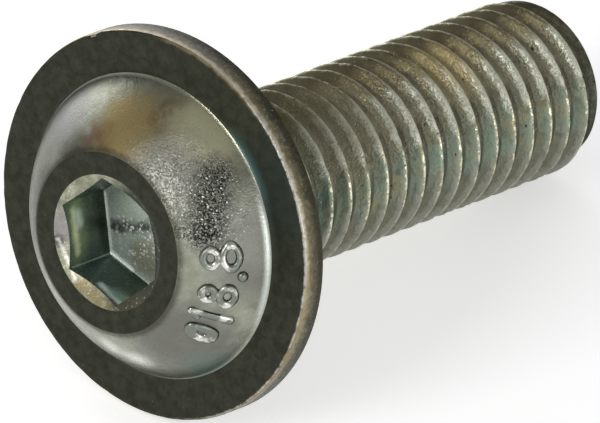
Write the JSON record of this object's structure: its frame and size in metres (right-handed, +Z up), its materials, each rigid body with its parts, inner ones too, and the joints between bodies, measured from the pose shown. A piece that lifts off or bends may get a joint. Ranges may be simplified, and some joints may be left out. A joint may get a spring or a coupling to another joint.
{
  "type": "round head screw",
  "caption": "Low domed screw head with a broad flat collar and a hexagon socket, on a coarse right-hand threaded shank with a chamfered tip; it clamps sheet or brackets in a tapped hole.",
  "frame": {"origin": "on the surface the screw lies on, below the centre of its box", "axes": "+X from the head towards the tip as the screw lies, +Z up, +Y to the left seen from the head. The screw's own axis is in the XZ plane and dips 11.1 degrees towards the tip, because the screw lies on the rim of its collar and the last crest of its thread"},
  "size_m": [0.0362, 0.0212, 0.0211],
  "materials": {
    "plated_steel": "worn, slightly yellowed zinc plating: satin, dulled and speckled, bright on the raised edges"
  },
  "bodies": {
    "root": {"screw": "plated_steel"}
  },
  "joints": []
}
